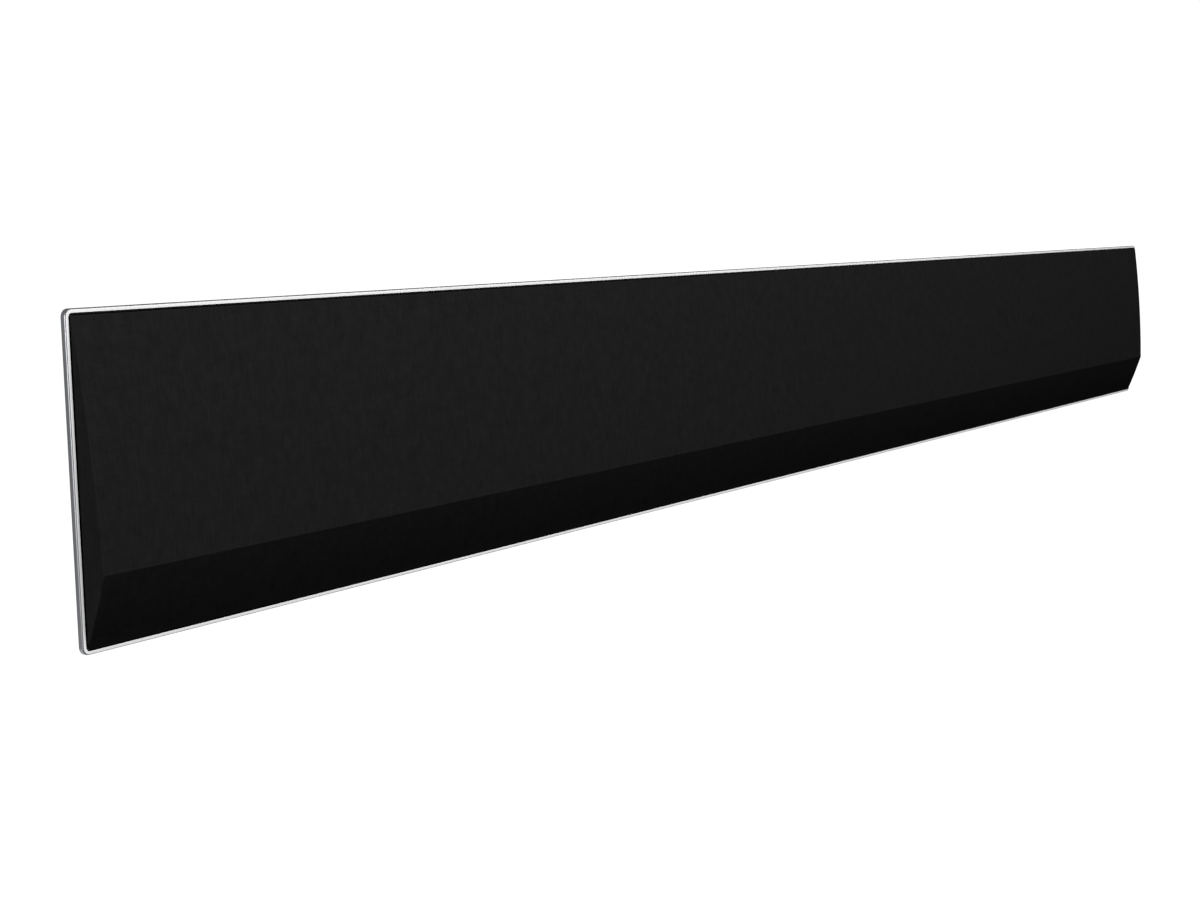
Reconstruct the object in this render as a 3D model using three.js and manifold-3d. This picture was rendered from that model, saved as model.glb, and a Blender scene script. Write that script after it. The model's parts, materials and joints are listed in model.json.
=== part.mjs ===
// A slim wall-hung soundbar with a wedge-shaped fabric front in a narrow metal rim.
// Millimetres. X runs along the bar, the front faces -Y, Z is up.
// The origin is the centre of the rear housing's flat wall face.

import * as THREE from 'three';
import { mergeVertices } from 'three/addons/utils/BufferGeometryUtils.js';
import Module from 'manifold-3d';

// Driving dimensions
const barLength = 1446;
const barHeight = 150;
const barDepth = 32;
const gap = 0.3;

// A span in Y that passes right through everything
const cutThroughY = [-60, 20];

// Metal rim round the front
const rimFrontY = -20;
const rimThickness = 3.6;
const rimRearY = rimFrontY + rimThickness;
const rimBandRearY = -17.2;
const rimRebate = 0.8;
const rimLipWidth = 1.8;
const seamWidth = 0.6;
const rimFlangeWidth = 5.3;
const rimFlangeThickness = 0.8;
const rimCornerRadius = 3.5;
const rimEdgeRadius = 0.7;
const rimInnerRadius = 1.8;

// Wedge-shaped grille: it swells out to a ridge low on the front
const ridgeHeight = 36;
const wedgeTopHeight = 147.5;
const wedgeBottomHeight = 2.5;
const wedgeTopStep = 0.85;
const wedgeCornerRadius = 1.6;
const frontBulge = 1.6;
const bevelBulge = 0.45;
const wedgeBaseY = -19.6;
const wedgeHalfLength = barLength / 2 - rimLipWidth - seamWidth;
const clothThickness = 0.5;
const latticeThickness = 2;

// The wedge's end in plan: how far each point lies in from the end and forward of the rim
const endPlan = [[0, 0], [0.6, 10], [1.2, 11.6], [2.4, 12.5]];

// Front baffle and rear housing
const baffleRearY = rimRearY - rimFlangeThickness - gap;
const baffleThickness = 1.8;
const baffleCornerRadius = 1.5;
const baffleFrontY = baffleRearY - baffleThickness;
const housingHalfLength = 703;
const housingHalfHeight = 69;
const housingWall = 2.4;
const housingFrontY = baffleRearY + gap;
const housingRearRadius = 2;
const housingCornerRadius = 6;
const screwColumns = [-685, -380, 380, 685];
const screwRow = 58;
const screw = { headRadius: 2.8, headRearY: -0.4, headFrontY: -2.6, shankRadius: 1.35, endY: -15 };
const screwRecess = { radius: 1.3, frontY: -1.6 };
const boss = { radius: 5, frontY: -8, headHole: 3.4, headHoleFrontY: -2.9, shankHole: 1.8 };
const pillar = { radius: 4, hole: 1.7, rearY: -8.3, holeFrontY: -16 };
const postRadius = 3;
const vents = { count: 10, firstX: 195, pitch: 14, width: 3, halfHeight: 26 };
const ventBridge = { halfHeight: 1.5, rearY: -0.8, margin: 1 };

// Racetrack woofers and dome tweeters, in three channels
const channelCentres = [-510, 0, 510];
const wooferOffset = 100;
const wooferStretch = 30;
const wooferHoleRadius = 21;
const tweeterHoleRadius = 12.9;
const wooferWindow = { width: 108, height: 48, count: 5 };
const tweeterWindow = { width: 34, height: 36, count: 2 };
const ribWidth = 4;
const driverSegments = 12;

// Terminal bay in the rear, open to the wall side and downwards
const bay = { left: -345, right: -165, top: -22, depth: 13, wall: 2 };
const panel = { thickness: 1.6, rearY: -1.5, frontY: -12.2, endMargin: 5 };
const socketFrontY = -11.2;
const socketEndWall = 2;
const coreFloor = 1.5;
const boardRearY = -11.5;
const boardThickness = 1.6;

// Keyhole plates
const hangX = 560;
const hangZ = 42;
const hangWindow = { width: 24, height: 34 };
const hangPlateMargin = 4;
const hangPlateThickness = 1.5;
const hangPlateCorner = 3;
const hangPadY = -0.8;
const keyholeEntryZ = -6;
const keyholeEntryRadius = 5;
const keyholeSlotZ = 8;
const keyholeSlotRadius = 2.5;
const keyholeSegments = 8;

// Buttons in the right-hand end wall
const buttonNames = ['power', 'source', 'volume_down', 'volume_up', 'pairing'];
const buttonPitch = 12;
const buttonY = -8.8;
const buttonProud = 0.6;
const buttonCap = { depth: 5.6, height: 9, collarDepth: 7.4, collarHeight: 10.8, collarThickness: 1 };
const bezel = { depth: 8.6, halfHeight: 32.7, holeDepth: 6.2, holeHeight: 9.6 };
const buttonWindowSize = { depth: 9.2, halfHeight: 33 };
const switches = { faceX: 696.2, boardDepth: 11, halfHeight: 32, size: 5, height: 2 };

// Status display behind the cloth
const display = { x: 255, z: 34 };
const displayBoardSize = { halfWidth: 40, halfHeight: 12, rearY: -14.3 };
const lightGuide = { halfWidth: 30, halfHeight: 4, frontY: -21.2, rearY: -16.2 };
const displaySlot = { halfWidth: 30.5, halfHeight: 4.5 };
const displayWindow = { halfWidth: 32, halfHeight: 6 };

// Circuit boards behind the baffle, and what stands on them
const mainBoardPlace = { x: [-345, -165], z: [-19.4, 62] };
const mainBoardChips = [
  { x: [-284, -266], z: [6, 24], height: 1.2 },
  { x: [-330, -312], z: [38, 50], height: 1 },
  { x: [-300, -276], z: [36, 54], height: 2.4 },
];
const mainBoardCapacitors = { columns: [-330, -312, -294], z: 24, radius: 3.2 };
const powerBoardPlace = { x: [170, 345], z: [-60, 60] };
const powerBoardBlocks = [
  { x: [232, 268], z: [-20, 16], height: 7.8 },
  { x: [284, 330], z: [-40, -24], height: 5 },
];
const lyingCapacitors = { rows: [-4, 14, 32], x: [296, 326], radius: 3.8, lift: 3.6 };
const standingCapacitors = { columns: [186, 200, 214], z: 36, radius: 4.2 };
const capacitorTopY = -4;
const partSink = 0.2;
const sink = { left: -255, right: -179, low: 20, high: 56, fins: 7, finHeight: 7.6, base: 2 };
const wireless = { rearY: -9, x: [-32, 32], z: [38, 60], shieldX: [-20, 20], shieldZ: [41, 57], shield: 2 };

const wasm = await Module();
wasm.setup();

const soundbar = new THREE.Group();
soundbar.name = 'soundbar';

// Materials

function finish(color, roughness, metalness) {
  return new THREE.MeshStandardMaterial({ color, roughness, metalness });
}

const cloth = () => finish(0x1d1d1f, 0.95, 0);
const brushedRim = () => finish(0xb9bbbd, 0.32, 1);
const blackPlastic = () => finish(0x17171a, 0.6, 0);
const darkPlastic = () => finish(0x222326, 0.7, 0);
const zincSteel = () => finish(0xa9abad, 0.4, 1);
const socketShell = () => finish(0x9a9c9f, 0.35, 1);
const boardGreen = () => finish(0x1f4a33, 0.55, 0);
const paperCone = () => finish(0x1b1b1d, 0.85, 0);
const softRubber = () => finish(0x121213, 0.7, 0);
const silkDome = () => finish(0x2a2b2e, 0.6, 0);
const aluminium = () => finish(0xc4c6c9, 0.35, 1);
const frosted = () => finish(0xe9ebec, 0.5, 0);
const blackSteel = () => finish(0x1c1c1e, 0.45, 1);

// Geometry helpers

// Drops all but positions, welds the corners and turns the faces outward.
function weld(geometry) {
  const bare = geometry.index ? geometry.toNonIndexed() : geometry.clone();
  bare.deleteAttribute('normal');
  bare.deleteAttribute('uv');
  const welded = mergeVertices(bare, 1e-4);
  const index = welded.index.array;
  const kept = [];
  for (let i = 0; i < index.length; i += 3) {
    const [a, b, c] = index.slice(i, i + 3);
    if (a !== b && b !== c && c !== a) kept.push(a, b, c);
  }
  welded.setIndex(signedVolume(welded, kept) < 0 ? kept.reverse() : kept);
  return welded;
}

// Six times the volume enclosed by the triangles, negative when they face inward.
function signedVolume(geometry, index) {
  const position = geometry.attributes.position;
  const [a, b, c] = [new THREE.Vector3(), new THREE.Vector3(), new THREE.Vector3()];
  let total = 0;
  for (let i = 0; i < index.length; i += 3) {
    a.fromBufferAttribute(position, index[i]);
    b.fromBufferAttribute(position, index[i + 1]);
    c.fromBufferAttribute(position, index[i + 2]);
    total += a.dot(b.cross(c));
  }
  return total;
}

function solid(geometry) {
  const welded = weld(geometry);
  const vertProperties = new Float32Array(welded.attributes.position.array);
  const triVerts = new Uint32Array(welded.index.array);
  return new wasm.Manifold(new wasm.Mesh({ numProp: 3, vertProperties, triVerts }));
}

function geometryOf(manifold) {
  const mesh = manifold.getMesh();
  const geometry = new THREE.BufferGeometry();
  geometry.setAttribute('position', new THREE.BufferAttribute(mesh.vertProperties, 3));
  geometry.setIndex(new THREE.BufferAttribute(mesh.triVerts, 1));
  return geometry;
}

function addPiece(name, shape, material, parent = soundbar) {
  const geometry = shape instanceof THREE.BufferGeometry ? weld(shape) : geometryOf(shape);
  geometry.computeVertexNormals();
  const mesh = new THREE.Mesh(geometry, material);
  mesh.name = name;
  parent.add(mesh);
  return mesh;
}

function block(x, y, z) {
  const size = [x, y, z].map(([low, high]) => high - low);
  const middle = [x, y, z].map(([low, high]) => (low + high) / 2);
  return new THREE.BoxGeometry(...size).translate(...middle);
}

const solidBlock = (x, y, z) => solid(block(x, y, z));

const spanAbout = (middle, width) => [middle - width / 2, middle + width / 2];

// A rod along one axis, with its centre line through the two other coordinates.
function rod(axis, radius, from, to, at, sides = 12) {
  const geometry = new THREE.CylinderGeometry(radius, radius, to - from, sides);
  const middle = (from + to) / 2;
  if (axis === 'x') geometry.rotateZ(Math.PI / 2).translate(middle, at[0], at[1]);
  if (axis === 'y') geometry.translate(at[0], middle, at[1]);
  if (axis === 'z') geometry.rotateX(Math.PI / 2).translate(at[0], at[1], middle);
  return solid(geometry);
}

// Extrudes an outline drawn in X and Z, from its rear plane forward to its front plane.
function alongY(outline, rearY, frontY, options = {}) {
  const plain = { depth: rearY - frontY, bevelEnabled: false, curveSegments: 6 };
  const geometry = new THREE.ExtrudeGeometry(outline, { ...plain, ...options });
  return geometry.rotateX(Math.PI / 2).translate(0, rearY, 0);
}

// Extrudes an outline drawn in Y and Z along X.
function alongX(outline, fromX, toX) {
  const axes = [new THREE.Vector3(0, 1, 0), new THREE.Vector3(0, 0, 1), new THREE.Vector3(1, 0, 0)];
  const turn = new THREE.Matrix4().makeBasis(...axes);
  const geometry = new THREE.ExtrudeGeometry(outline, { depth: toX - fromX, bevelEnabled: false });
  return geometry.applyMatrix4(turn).translate(fromX, 0, 0);
}

// Extrudes an outline drawn in X and Y along Z.
function alongZ(outline, fromZ, toZ) {
  const options = { depth: toZ - fromZ, bevelEnabled: false, curveSegments: 6 };
  return new THREE.ExtrudeGeometry(outline, options).translate(0, 0, fromZ);
}

function roundedRectangle(halfWidth, halfHeight, radius, path = new THREE.Shape()) {
  const [w, h] = [halfWidth - radius, halfHeight - radius];
  path.moveTo(halfWidth, -h);
  path.absarc(w, h, radius, 0, Math.PI / 2);
  path.absarc(-w, h, radius, Math.PI / 2, Math.PI);
  path.absarc(-w, -h, radius, Math.PI, 1.5 * Math.PI);
  path.absarc(w, -h, radius, 1.5 * Math.PI, 2 * Math.PI);
  return path;
}

// Two half circles joined by straights, long in the outline's first direction.
function racetrack(x, y, stretch, radius, path = new THREE.Path()) {
  path.absarc(x + stretch, y, radius, -Math.PI / 2, Math.PI / 2);
  path.absarc(x - stretch, y, radius, Math.PI / 2, 1.5 * Math.PI);
  path.closePath();
  return path;
}

function polygon(points) {
  return new THREE.Shape(points.map(([x, y]) => new THREE.Vector2(x, y)));
}

// Turns a profile of [radius, y] points about Y, then pulls the halves apart along X.
function turned(profile, stretch = 0, segments = driverSegments) {
  const points = profile.map(([radius, y]) => new THREE.Vector2(radius, y));
  const geometry = new THREE.LatheGeometry(points, segments, Math.PI / segments);
  const position = geometry.attributes.position;
  for (let i = 0; i < position.count; i++) {
    const x = position.getX(i);
    if (Math.abs(x) > 1e-6) position.setX(i, x + Math.sign(x) * stretch);
  }
  return geometry;
}

// Wedge of the grille

// Depth in front of the rim plane, against height above the bar's bottom edge.
function frontDepth(height) {
  const ridgeDepth = barDepth + rimFrontY;
  if (height < ridgeHeight) {
    const t = (height - wedgeBottomHeight) / (ridgeHeight - wedgeBottomHeight);
    return ridgeDepth * t + bevelBulge * 4 * t * (1 - t);
  }
  const t = (wedgeTopHeight - height) / (wedgeTopHeight - ridgeHeight);
  return wedgeTopStep + (ridgeDepth - wedgeTopStep) * t + frontBulge * 4 * t * (1 - t);
}

// The wedge made smaller by an inset, from the rear plane given.
function wedge(inset, rearY = wedgeBaseY) {
  const low = wedgeBottomHeight + inset;
  const high = wedgeTopHeight - inset;
  const surface = (height) => [rimFrontY - frontDepth(height) + inset, height - barHeight / 2];
  const points = [[rearY, low - barHeight / 2]];
  for (let i = 0; i <= 2; i++) {
    points.push(surface(low + (ridgeHeight - low) * i / 2));
  }
  for (let i = 1; i <= 5; i++) {
    points.push(surface(ridgeHeight + (high - ridgeHeight) * i / 5));
  }
  points.push([rearY, high - barHeight / 2]);
  const clear = points.map(([y, z]) => [Math.min(y, rearY), z]);
  const halfLength = wedgeHalfLength - inset;
  const ends = endPlan.map(([back, forward]) => [halfLength - back, rimFrontY - forward + inset]);
  ends.unshift([halfLength, rearY + 1]);
  const plan = [...ends, ...ends.map(([x, y]) => [-x, y]).reverse()];
  const trim = solid(alongZ(polygon(plan), -barHeight, barHeight));
  const outline = roundedRectangle(halfLength, (high - low) / 2, wedgeCornerRadius);
  const corners = solid(alongY(outline, rearY + 2, -barDepth - 2, { curveSegments: 3 }));
  const bar = solid(alongX(polygon(withoutRepeats(clear)), -barLength / 2, barLength / 2));
  return bar.intersect(trim).intersect(corners);
}

function withoutRepeats(points) {
  const far = ([ax, ay], [bx, by]) => Math.hypot(ax - bx, ay - by) > 0.01;
  return points.filter((point, i) => far(point, points[(i + 1) % points.length]));
}

function grilleFabric() {
  return wedge(0).subtract(wedge(clothThickness, wedgeBaseY + 2));
}

// A ribbed window in the lattice, cut right through along Y.
function ribbedWindow(shell, centre, { width, height, count }) {
  const pitch = width / count;
  for (let i = 0; i < count; i++) {
    const x = centre - width / 2 + pitch * (i + 0.5);
    const span = spanAbout(x, pitch - ribWidth);
    shell = shell.subtract(solidBlock(span, cutThroughY, spanAbout(0, height)));
  }
  return shell;
}

function grilleFrame() {
  const inset = clothThickness + gap;
  let shell = wedge(inset).subtract(wedge(inset + latticeThickness, wedgeBaseY + 2));
  for (const centre of channelCentres) {
    shell = ribbedWindow(shell, centre - wooferOffset, wooferWindow);
    shell = ribbedWindow(shell, centre, tweeterWindow);
    shell = ribbedWindow(shell, centre + wooferOffset, wooferWindow);
  }
  return shell.subtract(displayCut(displayWindow));
}

// A hole right through at the status display.
function displayCut({ halfWidth, halfHeight }) {
  const x = spanAbout(display.x, 2 * halfWidth);
  return solidBlock(x, cutThroughY, spanAbout(display.z, 2 * halfHeight));
}

// Rim, baffle and housing

// Extrusion options for an edge rounded all round, outside the outline.
function roundedEdge(radius, bevelSegments) {
  return { bevelEnabled: true, bevelThickness: radius, bevelSize: radius, bevelSegments };
}

// What is cut away behind the side band, so that the flange stands back from it.
function rearRebate() {
  const around = solidBlock([-barLength, barLength], [rimBandRearY, rimRearY + 1], [-barHeight, barHeight]);
  const [w, h] = [barLength / 2 - rimRebate, barHeight / 2 - rimRebate];
  const kept = roundedRectangle(w, h, rimCornerRadius - rimRebate);
  return around.subtract(solid(alongY(kept, rimRearY + 2, rimBandRearY - 1, { curveSegments: 2 })));
}

function rimFrame() {
  const outline = roundedRectangle(
    barLength / 2 - rimEdgeRadius, barHeight / 2 - rimEdgeRadius, rimCornerRadius - rimEdgeRadius,
  );
  const edge = { ...roundedEdge(rimEdgeRadius, 1), curveSegments: 2 };
  const outer = solid(alongY(outline, rimRearY - rimEdgeRadius, rimFrontY + rimEdgeRadius, edge));
  const opening = (inset) => roundedRectangle(barLength / 2 - inset, barHeight / 2 - inset, rimInnerRadius);
  const coarse = { curveSegments: 2 };
  const frontRearY = rimRearY - rimFlangeThickness;
  const frontCut = solid(alongY(opening(rimLipWidth), frontRearY, rimFrontY - 1, coarse));
  const rearCut = solid(alongY(opening(rimFlangeWidth), rimRearY + 1, rimFrontY - 1, coarse));
  return outer.subtract(rearRebate()).subtract(frontCut).subtract(rearCut);
}

const screwPlaces = screwColumns.flatMap((x) => [[x, -screwRow], [x, screwRow]]);
const wooferCentres = channelCentres.flatMap((x) => [x - wooferOffset, x + wooferOffset]);

// Posts on the back of the baffle that carry the circuit boards.
const boardPosts = [
  [-338, 56], [-172, 56], [-338, -8], [-172, -8], [178, 52], [337, 52], [178, -52], [337, -52],
];

function frontBaffle() {
  const halfHeight = barHeight / 2 - rimLipWidth - seamWidth;
  const outline = roundedRectangle(wedgeHalfLength, halfHeight, baffleCornerRadius);
  for (const x of wooferCentres) outline.holes.push(racetrack(x, 0, wooferStretch, wooferHoleRadius));
  for (const x of channelCentres) outline.holes.push(racetrack(x, 0, 0, tweeterHoleRadius));
  let baffle = solid(alongY(outline, baffleRearY, baffleFrontY, { curveSegments: 3 }));
  baffle = baffle.subtract(displayCut(displaySlot));
  const rootY = baffleRearY - 0.5;
  const postTopY = boardRearY - boardThickness - gap;
  for (const place of screwPlaces) {
    baffle = baffle.add(rod('y', pillar.radius, rootY, pillar.rearY, place, 8));
    baffle = baffle.subtract(rod('y', pillar.hole, pillar.holeFrontY, 0, place, 8));
  }
  for (const place of boardPosts) {
    baffle = baffle.add(rod('y', postRadius, rootY, postTopY, place, 8));
  }
  return baffle;
}

function housingShell() {
  const r = housingRearRadius;
  const outline = roundedRectangle(housingHalfLength - r, housingHalfHeight - r, housingCornerRadius - r);
  const outer = solid(alongY(outline, -r, housingFrontY - 4, { ...roundedEdge(r, 2), curveSegments: 3 }));
  const [w, h] = [housingHalfLength - housingWall, housingHalfHeight - housingWall];
  const inside = roundedRectangle(w, h, housingCornerRadius - housingWall);
  const hollow = solid(alongY(inside, -housingWall, housingFrontY - 20, { curveSegments: 3 }));
  const front = solidBlock([-barLength, barLength], [-60, housingFrontY], [-barHeight, barHeight]);
  return outer.subtract(hollow).subtract(front);
}

// The bay's box, its hollow and the window that the terminal panel fills.
function terminalBay() {
  const walls = solidBlock(
    [bay.left - bay.wall, bay.right + bay.wall],
    [-bay.depth - bay.wall, -1],
    [-housingHalfHeight + 1, bay.top + bay.wall],
  );
  const hollow = solidBlock([bay.left, bay.right], [-bay.depth, 1], [-housingHalfHeight - 1, bay.top]);
  const panelWindow = solidBlock(
    [bay.left + panel.endMargin, bay.right - panel.endMargin],
    [panel.frontY - gap, panel.rearY + gap],
    [bay.top - 3, bay.top + 7],
  );
  return { walls, hollow, panelWindow };
}

function ventSlot(i) {
  const x = vents.firstX + vents.pitch * i;
  return solidBlock([x, x + vents.width], [-5, 1], [-vents.halfHeight, vents.halfHeight]);
}

function rearHousing() {
  let housing = housingShell();
  const { walls, hollow, panelWindow } = terminalBay();
  housing = housing.add(walls).subtract(hollow).subtract(panelWindow);
  for (const x of [-hangX, hangX]) {
    const window = [spanAbout(x, hangWindow.width), [-5, 1], spanAbout(hangZ, hangWindow.height)];
    housing = housing.subtract(solidBlock(...window));
  }
  for (const place of screwPlaces) {
    housing = housing.add(rod('y', boss.radius, boss.frontY, -1, place, 8));
    housing = housing.subtract(rod('y', boss.headHole, boss.headHoleFrontY, 1, place, 8));
    housing = housing.subtract(rod('y', boss.shankHole, -20, 1, place, 8));
  }
  for (let i = 0; i < vents.count; i++) housing = housing.subtract(ventSlot(i));
  const lastX = vents.firstX + vents.pitch * (vents.count - 1) + vents.width;
  const bridge = solidBlock(
    [vents.firstX + ventBridge.margin, lastX - ventBridge.margin],
    [-housingWall, ventBridge.rearY],
    [-ventBridge.halfHeight, ventBridge.halfHeight],
  );
  const buttonWindow = solidBlock(
    [housingHalfLength - 50, housingHalfLength + 20],
    spanAbout(buttonY, buttonWindowSize.depth),
    spanAbout(0, 2 * buttonWindowSize.halfHeight),
  );
  return housing.add(bridge).subtract(buttonWindow);
}

// A pressed steel plate: its flange lies behind the wall and its pad stands out into the window.
function hangPlate(x) {
  const [w, h] = [hangWindow.width / 2, hangWindow.height / 2];
  const flangeRearY = -housingWall - gap;
  const frontY = flangeRearY - hangPlateThickness;
  const outline = roundedRectangle(w + hangPlateMargin, h + hangPlateMargin, hangPlateCorner);
  const flange = solid(alongY(outline, flangeRearY, frontY, { curveSegments: 3 }));
  const pad = solidBlock([-w + gap, w - gap], [frontY + 0.2, hangPadY], [-h + gap, h - gap]);
  const wall = gap + hangPlateThickness;
  const hollowY = [frontY - 1, hangPadY - hangPlateThickness];
  const hollow = solidBlock([-w + wall, w - wall], hollowY, [-h + wall, h - wall]);
  const cut = solid(alongY(keyhole(), 1, frontY - 1, { curveSegments: keyholeSegments }));
  return flange.add(pad).subtract(hollow).subtract(cut).translate([x, 0, hangZ]);
}

// A round entry below with a narrow slot up from it.
function keyhole() {
  const outline = new THREE.Shape();
  outline.absarc(0, keyholeEntryZ, keyholeEntryRadius, Math.PI / 3, 2 * Math.PI / 3, true);
  outline.absarc(0, keyholeSlotZ, keyholeSlotRadius, Math.PI, 0, true);
  outline.closePath();
  return outline;
}

function rearScrew(place) {
  const head = rod('y', screw.headRadius, screw.headFrontY, screw.headRearY, place, 8);
  const shank = rod('y', screw.shankRadius, screw.endY, screw.headFrontY + 0.1, place, 6);
  const recess = rod('y', screwRecess.radius, screwRecess.frontY, 0, place, 4);
  return head.add(shank).subtract(recess);
}

// Drivers

// Profiles are [radius, y] points, from the axis round the section.
const wooferChassis = [
  [0, -3.2], [12.4, -3.2], [12.4, -7], [18.4, -7.6], [20, -19.6], [25.6, -19.6], [25.6, -20.7],
  [19.4, -20.7], [17.4, -9], [11.4, -8.6], [11.4, -4.6], [9.2, -4.6], [9.2, -8.6], [0, -8.6],
];
const wooferCone = [
  [0, -14.2], [5, -13.8], [10, -12.4], [10, -7.2], [10.6, -7.2], [10.6, -12.2], [15.6, -21.3],
  [17.4, -21.3], [17.4, -21.9], [15, -21.9], [10, -13.1], [5, -14.5], [0, -14.9],
];
const wooferSurround = [
  [24.6, -21], [24.6, -21.5], [21.4, -21.5], [20.4, -23.3], [18.4, -23.3], [17.6, -22.7],
  [15.4, -22.7], [15.4, -22.2], [18.1, -22.2], [19.8, -22.6], [20.9, -21], [24.6, -21],
];
const tweeterBody = [
  [0, -8], [12, -8], [12, -19.6], [17, -19.6], [17, -20.8], [13.4, -20.8], [11, -19.8], [10.6, -15.5],
  [8.8, -15.5], [8.8, -18.2], [0, -18.2],
];
const tweeterDome = [
  [0, -22.4], [6, -21.5], [9.4, -20], [9.4, -16.6], [9.9, -16.6], [9.9, -19.9], [10.6, -20.1],
  [10.6, -20.6], [9.6, -20.6], [6.2, -22], [0, -22.9],
];

function addWoofer(number, x) {
  const woofer = new THREE.Group();
  woofer.position.x = x;
  addPiece(`woofer_${number}_chassis`, turned(wooferChassis, wooferStretch), blackSteel(), woofer);
  addPiece(`woofer_${number}_cone`, turned(wooferCone, wooferStretch), paperCone(), woofer);
  addPiece(`woofer_${number}_surround`, turned(wooferSurround, wooferStretch), softRubber(), woofer);
  soundbar.add(woofer);
}

function addTweeter(number, x) {
  const tweeter = new THREE.Group();
  tweeter.position.x = x;
  addPiece(`tweeter_${number}_body`, turned(tweeterBody), darkPlastic(), tweeter);
  addPiece(`tweeter_${number}_dome`, turned(tweeterDome), silkDome(), tweeter);
  soundbar.add(tweeter);
}

// Terminal panel and sockets, mouths facing down

// Each socket: name, centre x, shell width and depth, mouth width and depth, length.
const sockets = [
  { name: 'power_inlet', x: -325, shell: [20, 8.4], mouth: [15.6, 6.8], length: 20 },
  { name: 'av_input_socket', x: -294, shell: [15.4, 6.4], mouth: [14, 4.8], length: 13 },
  { name: 'av_return_socket', x: -270, shell: [15.4, 6.4], mouth: [14, 4.8], length: 13 },
  { name: 'optical_socket', x: -247, shell: [9.8, 8.4], mouth: null, length: 14 },
  { name: 'data_socket', x: -223, shell: [14.4, 7], mouth: [12.8, 5.4], length: 15 },
  { name: 'network_socket', x: -196, shell: [15.6, 8.4], mouth: [12, 6.8], length: 17 },
];
const metalShells = ['av_input_socket', 'av_return_socket', 'data_socket'];
const mouthZ = bay.top - 0.4;

// Where a socket stands: its middle in Y, its mouth and the far end of its shell.
function socketPlace({ shell, length }) {
  return { y: socketFrontY + shell[1] / 2, end: mouthZ + length };
}

function terminalPanel() {
  let plate = solidBlock(
    [bay.left + panel.endMargin + gap, bay.right - panel.endMargin - gap],
    [panel.frontY, panel.rearY],
    [bay.top, bay.top + panel.thickness],
  );
  for (const socket of sockets) {
    const [width, depth] = socket.shell;
    const { y } = socketPlace(socket);
    const across = [spanAbout(socket.x, width + 2 * gap), spanAbout(y, depth + 2 * gap)];
    plate = plate.subtract(solidBlock(...across, [bay.top - 1, bay.top + 2 * panel.thickness]));
  }
  return plate;
}

function socketBody(socket) {
  const { x, shell, mouth } = socket;
  const { y, end } = socketPlace(socket);
  const body = solidBlock(spanAbout(x, shell[0]), spanAbout(y, shell[1]), [mouthZ, end]);
  if (!mouth) return body;
  const across = [spanAbout(x, mouth[0]), spanAbout(y, mouth[1])];
  return body.subtract(solidBlock(...across, [mouthZ - 1, end - socketEndWall]));
}

// The two contact pins of the power inlet.
function inletPins(x, y, top) {
  const pin = (side) => rod('z', 1.2, top - 12, top, [x + side * 4.4, y], 8);
  return pin(-1).add(pin(1));
}

// A flat tongue that carries the contacts.
function tongue(width, y, length) {
  return (x, middle, top) => {
    return solidBlock(spanAbout(x, width), [middle + y[0], middle + y[1]], [top - length, top]);
  };
}

// What stands inside each socket's mouth, set back from its rim.
const socketCores = {
  power_inlet: inletPins,
  av_input_socket: tongue(11, [-0.7, 0.7], 6),
  av_return_socket: tongue(11, [-0.7, 0.7], 6),
  data_socket: tongue(10.6, [-0.6, 1.2], 8),
  network_socket: tongue(9, [-3.5, -2.6], 9),
};

function opticalDoor(socket) {
  const [width, depth] = socket.shell;
  const { y } = socketPlace(socket);
  const recess = 0.5;
  return solidBlock(spanAbout(socket.x, width - 3), spanAbout(y, depth - 3), [mouthZ - 1, mouthZ + recess]);
}

function addSockets() {
  for (const socket of sockets) {
    const { y, end } = socketPlace(socket);
    const core = socketCores[socket.name];
    let body = socketBody(socket);
    if (core) body = body.add(core(socket.x, y, end - coreFloor));
    else body = body.subtract(opticalDoor(socket));
    const material = metalShells.includes(socket.name) ? socketShell() : blackPlastic();
    addPiece(socket.name, body, material);
  }
}

// Circuit boards and cooling

function board(x, z, rearY = boardRearY) {
  return solidBlock(x, [rearY - boardThickness, rearY], z);
}

// A flat part soldered on a board, and a round one standing up from it.
function boardPart({ x, z, height }) {
  return solidBlock(x, [boardRearY - partSink, boardRearY + height], z);
}

function standingCan(x, z, radius) {
  return rod('y', radius, boardRearY - partSink, capacitorTopY, [x, z], 10);
}

function mainBoard() {
  const { columns, z, radius } = mainBoardCapacitors;
  let assembly = board(mainBoardPlace.x, mainBoardPlace.z);
  for (const x of columns) assembly = assembly.add(standingCan(x, z, radius));
  for (const chip of mainBoardChips) assembly = assembly.add(boardPart(chip));
  return assembly;
}

function powerBoard() {
  let assembly = board(powerBoardPlace.x, powerBoardPlace.z);
  for (const part of powerBoardBlocks) assembly = assembly.add(boardPart(part));
  for (const z of lyingCapacitors.rows) {
    const at = [boardRearY + lyingCapacitors.lift, z];
    assembly = assembly.add(rod('x', lyingCapacitors.radius, ...lyingCapacitors.x, at, 10));
  }
  const { columns, z, radius } = standingCapacitors;
  for (const x of columns) assembly = assembly.add(standingCan(x, z, radius));
  return assembly;
}

function heatSink() {
  const points = [[sink.right, 0], [sink.left, 0]];
  const pitch = (sink.right - sink.left) / (sink.fins - 0.5);
  for (let i = 0; i < sink.fins; i++) {
    const x = sink.left + pitch * i;
    points.push([x, sink.finHeight], [x + pitch / 2, sink.finHeight]);
    if (i < sink.fins - 1) points.push([x + pitch / 2, sink.base], [x + pitch, sink.base]);
  }
  return solid(alongZ(polygon(points), sink.low, sink.high).translate(0, boardRearY + gap, 0));
}

function wirelessModule() {
  const { rearY, shield } = wireless;
  const can = solidBlock(wireless.shieldX, [rearY - partSink, rearY + shield], wireless.shieldZ);
  return board(wireless.x, wireless.z, rearY).add(can);
}

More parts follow.
